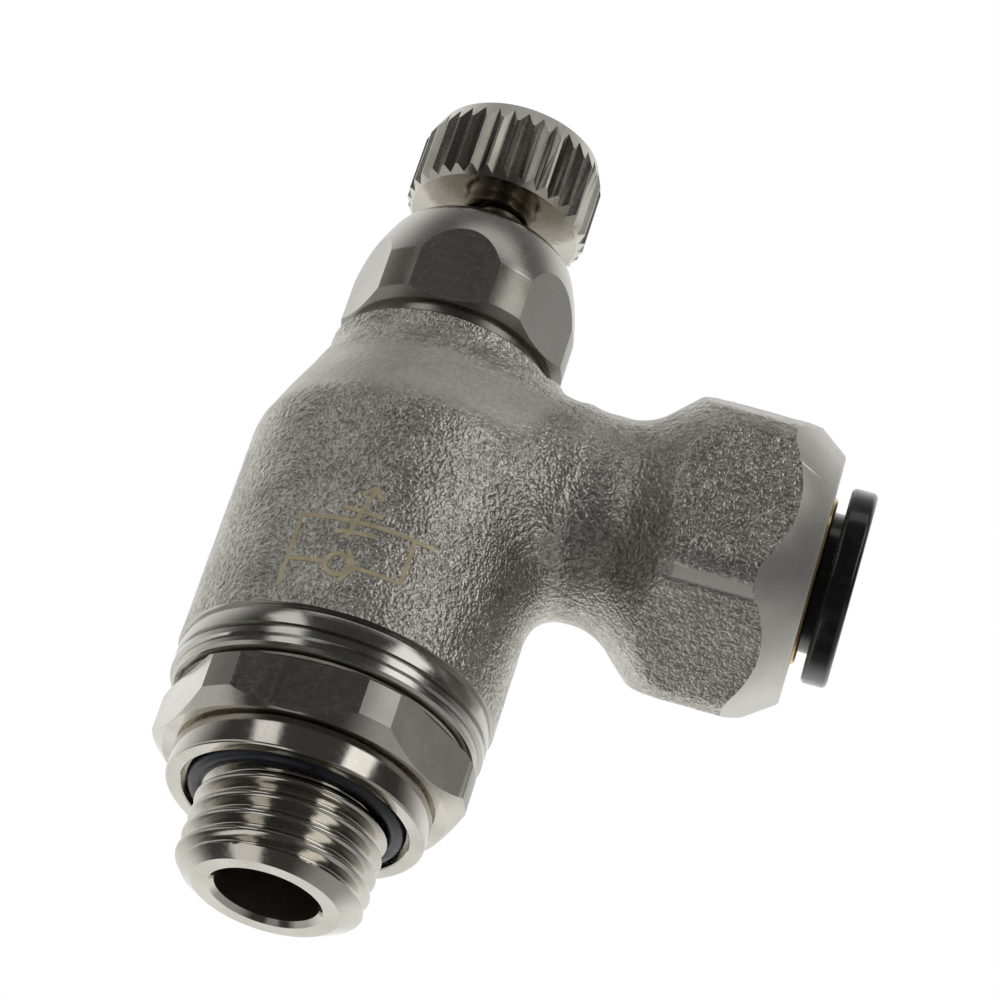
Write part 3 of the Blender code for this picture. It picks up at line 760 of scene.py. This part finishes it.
def build_symbol():
    points, faces = [], []
    for path in symbol_paths():
        ribbon(path, points, faces)
    symbol = to_object("flow_symbol", points, faces, VALVE)
    shape = bmesh.new()
    shape.from_mesh(symbol.data)
    bmesh.ops.recalc_face_normals(shape, faces=shape.faces)
    shape.to_mesh(symbol.data)
    shape.free()
    finish_piece(symbol, "housing", "swivel_body", LASER, stands_for=False)


# ---------------------------------------------------------------- bonnet, knob and needle

def build_bonnet():
    """The domed hexagonal cap."""
    long_r, edge_r, dome_bottom, dome_start, dome_end = 17.0, 2.3, 47.3, 9, 24
    start, end = math.radians(dome_start), math.radians(dome_end)
    centre_r = BONNET_R - long_r * math.cos(start)
    centre_z = dome_bottom - long_r * math.sin(start)
    edge_centre = (centre_r + (long_r - edge_r) * math.cos(end),
                   centre_z + (long_r - edge_r) * math.sin(end))
    outline = [(2.9, BONNET_TOP)]
    outline += arc(*edge_centre, edge_r, 88, dome_end, 14)[:-1]
    outline += arc(centre_r, centre_z, long_r, dome_end, dome_start, 24)
    outline += [(BONNET_R, BONNET_BOTTOM + 1.6), (7.5, BONNET_BOTTOM + 1.05),
                (7.4, BONNET_BOTTOM + 0.98), (7.05, BONNET_BOTTOM + 0.95),
                (7.05, BONNET_BOTTOM), (5.4, BONNET_BOTTOM), (5.4, 50.3),
                (2.65, 50.3), (2.65, BONNET_TOP - 0.25)]
    bonnet = lathe("domed_bonnet", outline)
    # The dome takes the satin nickel, whose darker colour is painted shade.
    bonnet.data.materials.append(DOME_SHADE_NICKEL)
    sleeve = hex_sleeve("bonnet_flats", BONNET_FLATS, BONNET_TURN,
                        BONNET_BOTTOM - 0.5, BONNET_TOP + 0.5)
    sleeve.data.materials.append(NICKEL)
    combine(bonnet, "DIFFERENCE", [sleeve], angle=15)
    # Painted shade: the darker nickel on the hex's corner strips, on the faces below that look down
    # and on the undercut wall.
    paint(bonnet, PAINTED_SHADE_NICKEL, lambda r, z, n: z < dome_bottom and (
        r > BONNET_R - 0.01 or n < -0.3 or 7.0 < r < 7.1))
    finish_piece(bonnet, "port", "bonnet")


def build_knob():
    """The knurled knob: a turned blank cut by a prism of V teeth."""
    root = KNOB_R - KNURL_DEPTH
    outline = [(KNOB_TOP_R - 0.12, KNOB_TOP), (KNOB_TOP_R - 0.03, KNOB_TOP - 0.03),
               (KNOB_TOP_R, KNOB_TOP - 0.12), (KNOB_R + 0.02, KNOB_TAPER),
               (KNOB_R + 0.02, KNOB_BOTTOM + 0.6), (root - 0.1, KNOB_BOTTOM),
               (2.8, KNOB_BOTTOM), (2.7, KNOB_BOTTOM + 0.4), (1.95, KNOB_BOTTOM + 0.4),
               (1.95, KNOB_TOP - 0.7), (2.5, KNOB_TOP - 0.7), (2.5, KNOB_TOP)]
    knob = lathe("knurled_knob", outline, steps=KNURL_TEETH * 8)
    knob.data.materials.append(NICKEL)
    star = []
    for i in range(KNURL_TEETH):
        centre = 2 * math.pi * i / KNURL_TEETH
        for offset, radius in ((-0.08, KNOB_R), (0.08, KNOB_R), (0.5, root)):
            angle = centre + offset * 2 * math.pi / KNURL_TEETH
            star.append((radius * math.cos(angle), radius * math.sin(angle)))
    teeth = prism("teeth", star, KNOB_BOTTOM - 0.5, KNOB_TOP + 0.5)
    teeth.data.materials.append(KNURL_NICKEL)
    combine(knob, "INTERSECT", [teeth])
    # Painted light: the paler nickel on the top taper, whose faces look a little upward.
    paint(knob, PAINTED_LIGHT_NICKEL, lambda r, z, n: (
        r > KNOB_TOP_R - 0.2 and z > KNOB_TAPER and 0.1 < n < 0.6))
    soften(knob, 0.05)
    finish_piece(knob, "needle", "knob")


def needle_radius(radius, height, angles, flat=0.12):
    """The M5 thread on the needle screw: a V with small flats."""
    if abs(radius - STEM_R) > 1e-6 or not STEM_THREAD_END < height < KNOB_BOTTOM:
        return np.full(len(angles), float(radius))
    wave = np.abs(helix_phase(height, angles, STEM_PITCH) - 0.5) * 2
    return STEM_R - STEM_DEPTH * np.clip((wave - flat) / (1 - 2 * flat), 0, 1)


def build_needle():
    """The adjusting screw, with two collars that hold its seal, and the needle's taper."""
    top = extent("needle_screw", 1, 2)
    outline = [(0.0, top), (1.55, top), (1.75, top - 0.2), (1.75, KNOB_BOTTOM + 0.1),
               (2.3, KNOB_BOTTOM + 0.1)]
    thread_heights = np.arange(KNOB_BOTTOM - 0.1, STEM_THREAD_END + 0.05, -0.05)
    outline += [(STEM_R, height) for height in thread_heights]
    outline += [(2.0, 48.0), (2.0, 47.6), (1.75, 47.6), (1.75, 46.8), (2.75, 46.8), (2.75, 45.6),
                (1.6, 45.6), (1.6, 43.9), (2.75, 43.9), (2.75, 42.5), (1.9, 42.0), (1.9, 30.4),
                (1.5, 29.4), (1.5, 26.5), (0.6, 25.2), (0.0, 25.2)]
    screw = lathe("needle", outline, steps=72, closed=False, radius_at=needle_radius)
    finish_piece(screw, "needle", "needle_screw", STEEL)


# ---------------------------------------------------------------- seals and cartridge

def build_ring(name, node, body, axis=2):
    """An O-ring with the size of its CAD node, and the line its mould leaves.

    axis is 2 for a ring about the valve axis and 0 for one about the branch.
    """
    low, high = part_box(node)
    cord = (high[axis] - low[axis]) / MM / 2
    middle = (high[axis] + low[axis]) / MM / 2 - (AXIS_X if axis == 0 else 0.0)
    radius = extent(node, 1, 1) - cord
    outline = arc(radius, middle, cord, 90, 6, 14)
    outline += [(radius + cord * 1.015, middle + cord * 0.03),
                (radius + cord * 1.015, middle - cord * 0.03)]
    outline += arc(radius, middle, cord, -6, -264, 30)
    ring = lathe(name, outline, BRANCH if axis == 0 else VALVE, 180)
    finish_piece(ring, body, node, RUBBER)


def build_cartridge():
    """Brass ring and seal spacer in the tube branch, and the slip washer on the stud."""
    ring = [(5.75, RING_END), (5.9, RING_END - 0.15), (5.9, 20.6), (5.5, 20.6),
            (5.5, 25.3), (5.2, 26.3), (5.2, RING_END - 0.2), (5.4, RING_END)]
    finish_piece(lathe("brass_ring", ring, BRANCH), "housing", "cartridge_ring", BRASS)
    spacer = [(5.85, 20.3), (5.85, 19.85), (4.35, 19.85), (4.35, 20.3)]
    finish_piece(lathe("spacer_ring", spacer, BRANCH), "housing", "seal_spacer", POLYMER)
    washer = [(9.9, 12.87), (10.0, 12.8), (10.0, 12.63), (8.0, 12.63), (8.0, 12.87)]
    finish_piece(lathe("washer", washer), "port", "thrust_washer", POLYMER)


def build_collet():
    """Gripping teeth, slit so that they can spread."""
    outline = [(5.3, 21.6), (5.3, 20.7), (4.4, 20.7), (4.4, 21.5), (4.75, 23.2), (4.25, 24.3),
               (4.5, 24.45), (5.15, 23.3), (5.15, 22.9)]
    collet = lathe("collet", outline, BRANCH, 96)
    length, half = 6, 0.35
    slit = [(-length, -half), (length, -half), (length, half), (-length, half)]
    slits = []
    for turn in range(0, 180, 60):
        spin = BRANCH @ Matrix.Rotation(math.radians(turn), 4, "Z")
        slits.append(prism("slit", slit, 22.1, 26.1, spin))
    combine(collet, "DIFFERENCE", slits)
    finish_piece(collet, "housing", "gripping_collet", SPRING_STEEL)


def build_button():
    """The release button: a rounded flange outside and a neck that reaches the collet."""
    inner = BUTTON_FACE - 1.85
    outline = [(4.75, BUTTON_FACE)]
    outline += arc(BUTTON_R - 0.4, BUTTON_FACE - 0.4, 0.4, 90, 0, 6)
    outline += arc(BUTTON_R - 0.35, inner + 0.35, 0.35, 0, -90, 5)
    outline += [(4.95, inner), (4.95, 26.6), (4.45, 25.8), (4.2, 25.8)]
    outline += arc(4.75, BUTTON_FACE - 0.55, 0.55, 180, 90, 6)[:-1]
    finish_piece(lathe("button", outline, BRANCH), "button", "release_button", PLASTIC)


def dress_nodes():
    """Procedural materials for the inner CAD nodes that keep their own meshes."""
    for node, material in (("check_lip_seal", RUBBER), ("lip_seal_clip", SPRING_STEEL),
                           ("metering_seat", INNER_BRASS), ("needle_stop_ring", SPRING_STEEL)):
        item = frame["nodes"][node]
        for entry in item.material_slots:
            entry.material = material


# ---------------------------------------------------------------- studio

VIEW_AZIMUTH = 5.22       # degrees round from -Y towards +X
VIEW_ELEVATION = -29.81   # below the horizon, looking up
VIEW_ROLL = 18.13
VIEW_DISTANCE = 300.0
VIEW_LENS = 157.75
SENSOR_WIDTH = 36.0
AIM = Vector((AXIS_X + 6.70, -1.88, 32.56))
FLOOR_Z = -0.3
FLOOR_HALF = 1500.0


def build_camera():
    """A camera that looks up at the valve from below, rolled so that the valve leans."""
    azimuth = math.radians(VIEW_AZIMUTH)
    elevation = math.radians(VIEW_ELEVATION)
    roll = math.radians(VIEW_ROLL)
    back = Vector((math.cos(elevation) * math.sin(azimuth),
                   -math.cos(elevation) * math.cos(azimuth), math.sin(elevation)))
    level = Vector((0, 0, 1)).cross(back).normalized()
    rise = back.cross(level)
    right = level * math.cos(roll) + rise * math.sin(roll)
    up = rise * math.cos(roll) - level * math.sin(roll)
    camera = bpy.data.objects.new("camera", bpy.data.cameras.new("camera"))
    camera.data.lens = VIEW_LENS
    camera.data.sensor_width = SENSOR_WIDTH
    camera.data.clip_start = 0.005
    turn = Matrix((right, up, back)).transposed()
    camera.matrix_world = Matrix.Translation((AIM + back * VIEW_DISTANCE) * MM) @ turn.to_4x4()
    bpy.context.scene.collection.objects.link(camera)
    bpy.context.scene.camera = camera


def build_world():
    """A light tent: white behind the object, dark behind the camera, a soft box on each side.

    It turns with the camera. x runs to the right of the valve's upright, y up along it and z away
    from the camera, each from -1 to 1. The camera itself sees plain white.
    """
    world = bpy.data.worlds.new("studio")
    bpy.context.scene.world = world
    world.use_nodes = True
    shader = Shader(world.node_tree)
    way = shader.node("TexCoord").outputs["Generated"]
    turned = shader.node("VectorTransform", {0: way}, vector_type="VECTOR", convert_from="WORLD",
                         convert_to="CAMERA").outputs[0]
    across, upward, z = shader.node("SeparateXYZ", {0: turned}).outputs
    roll = math.radians(VIEW_ROLL)
    x = shader.total((across, math.cos(roll)), (upward, -math.sin(roll)))
    y = shader.total((across, math.sin(roll)), (upward, math.cos(roll)))
    behind = shader.ramp(z, 0.0, shader.ramp(y, -0.4, 0.2, 0.55, 0.95))
    ceiling = shader.ramp(y, 0.5, 0.85, 1.0, 0.40)
    top = shader.math("MULTIPLY", shader.ramp(y, 0.86, 0.97), shader.window(z, -0.06, 0.19, 0.06))
    boxes = shader.total((shader.window(x, 0.43, 0.74, 0.07), 1.45),
                         (shader.window(x, -0.75, -0.49, 0.07), 0.95))
    boxes = shader.math("MULTIPLY", boxes, shader.ramp(y, 0.10, 0.35))
    boxes = shader.math("MULTIPLY", boxes, shader.ramp(z, 0.08, -0.02))
    low = shader.ramp(y, -0.05, -0.3)
    corner = shader.math("MULTIPLY", shader.window(x, -0.44, -0.18, 0.06),
                         shader.ramp(y, -0.55, -0.7))
    right = shader.math("MULTIPLY", shader.ramp(x, 0.12, 0.5), low)
    left = shader.math("MULTIPLY", shader.ramp(x, -0.6, -0.75), low)
    front = shader.total((0.05, 1.0), (boxes, 1.0), (corner, 0.9), (right, 0.35), (left, 0.5),
                         (top, 0.8))
    level = shader.node("Mix", {0: behind, 2: front, 3: ceiling}, data_type="FLOAT").outputs[0]
    seen = shader.node("LightPath").outputs["Is Camera Ray"]
    level = shader.node("Mix", {0: seen, 2: level, 3: 1.0}, data_type="FLOAT").outputs[0]
    shader.tree.links.new(level, world.node_tree.nodes["Background"].inputs["Strength"])
    world.node_tree.nodes["Background"].inputs["Color"].default_value = (1.0, 1.0, 1.0, 1.0)


def build_floor():
    """A pale floor just under the object, seen only from above."""
    material, shader, surface = new_material("floor")
    connect(shader, surface, base_color=(0.86, 0.86, 0.85, 1.0), roughness=0.9,
            emission_color=(1.0, 1.0, 0.99, 1.0), emission_strength=0.36)
    light = shader.node("LightPath").outputs["Is Camera Ray"]
    front = shader.math("SUBTRACT", 1.0, shader.node("NewGeometry").outputs["Backfacing"])
    shown = shader.math("MULTIPLY", light, front)
    clear = shader.node("BsdfTransparent").outputs[0]
    mixed = shader.node("MixShader", {0: shown, 1: clear, 2: surface.outputs[0]}).outputs[0]
    shader.tree.links.new(mixed, material.node_tree.nodes["Material Output"].inputs["Surface"])
    corners = [(-FLOOR_HALF, -FLOOR_HALF, 0), (FLOOR_HALF, -FLOOR_HALF, 0),
               (FLOOR_HALF, FLOOR_HALF, 0), (-FLOOR_HALF, FLOOR_HALF, 0)]
    floor = to_object("floor", corners, [(0, 1, 2, 3)], Matrix.Translation((0, 0, FLOOR_Z)))
    floor.data.materials.append(material)


build_port_stud()
build_body()
build_symbol()
build_bonnet()
build_knob()
build_needle()
for node, body, name in (("port_face_seal", "port", "face_seal"),
                         ("lower_stem_seal", "port", "lower_seal"),
                         ("upper_stem_seal", "port", "upper_seal"),
                         ("bonnet_seal", "port", "cap_seal"),
                         ("needle_seal", "seal_carriage", "screw_seal")):
    build_ring(name, node, body)
build_ring("tube_lip_seal", "tube_seal", "housing", axis=0)
build_cartridge()
build_collet()
build_button()
dress_nodes()
build_camera()
build_world()
build_floor()
bpy.context.scene.view_settings.view_transform = "Standard"
